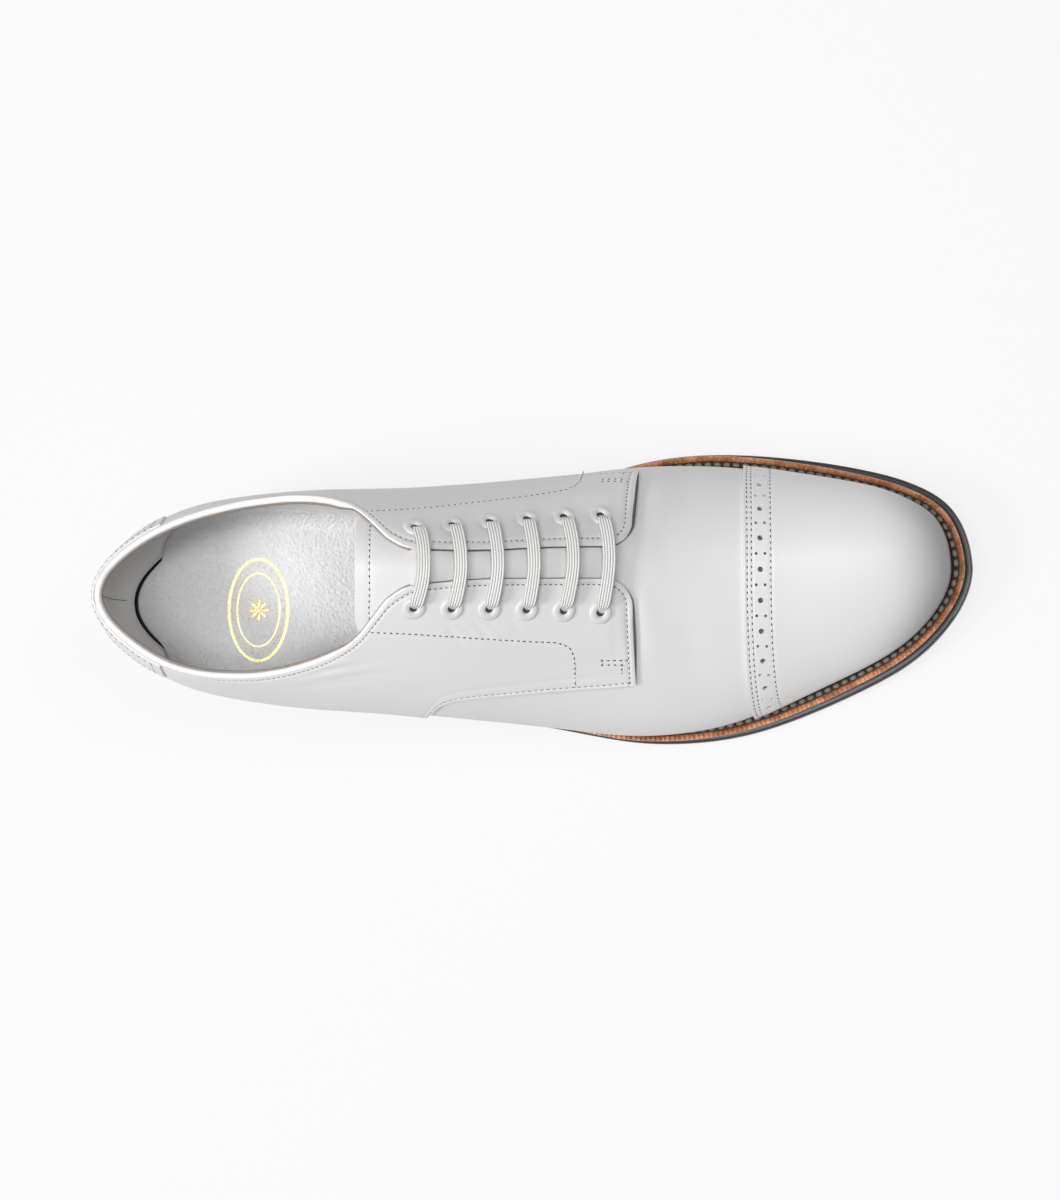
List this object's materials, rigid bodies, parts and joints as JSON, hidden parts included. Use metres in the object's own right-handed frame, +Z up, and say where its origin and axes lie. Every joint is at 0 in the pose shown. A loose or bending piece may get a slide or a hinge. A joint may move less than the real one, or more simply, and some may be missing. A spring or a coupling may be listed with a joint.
{
  "type": "cap toe derby shoe",
  "caption": "Open-laced dress shoe for the right foot in smooth pale leather, with a punched toe cap, a ribbed storm welt and a stacked heel",
  "frame": {"origin": "on the floor under the middle of the shoe's box", "axes": "+X to the toe, +Y to the inner (medial) side of the foot, +Z up"},
  "size_m": [0.3032, 0.1026, 0.108],
  "materials": {
    "leather": "smooth corrected-grain leather, pale cool grey-white, soft satin shine",
    "binding": "folded leather edge, a little lighter than the quarters",
    "sock": "grained grey sock leather, matt",
    "welt": "tan leather welt with a milled ridge, stitched, waxed",
    "sole_edge": "black inked and burnished sole edge",
    "heel_rubber": "black rubber top lift, matt",
    "eyelet": "white enamelled eyelet",
    "lace": "flat woven off-white cotton lace"
  },
  "bodies": {
    "root": {"upper": "leather", "toe_cap": "leather", "tongue": "leather", "backstay": "leather", "collar_binding": "binding", "insole": "sock", "welt": "welt", "outsole": "sole_edge", "heel_stack": "sole_edge", "heel_top_lift": "heel_rubber", "eyelet_medial_1": "eyelet", "eyelet_lateral_1": "eyelet", "eyelet_medial_2": "eyelet", "eyelet_lateral_2": "eyelet", "eyelet_medial_3": "eyelet", "eyelet_lateral_3": "eyelet", "eyelet_medial_4": "eyelet", "eyelet_lateral_4": "eyelet", "eyelet_medial_5": "eyelet", "eyelet_lateral_5": "eyelet", "eyelet_medial_6": "eyelet", "eyelet_lateral_6": "eyelet", "lace_bar_1": "lace", "lace_bar_2": "lace", "lace_bar_3": "lace", "lace_bar_4": "lace", "lace_bar_5": "lace", "lace_bar_6": "lace"}
  },
  "joints": []
}
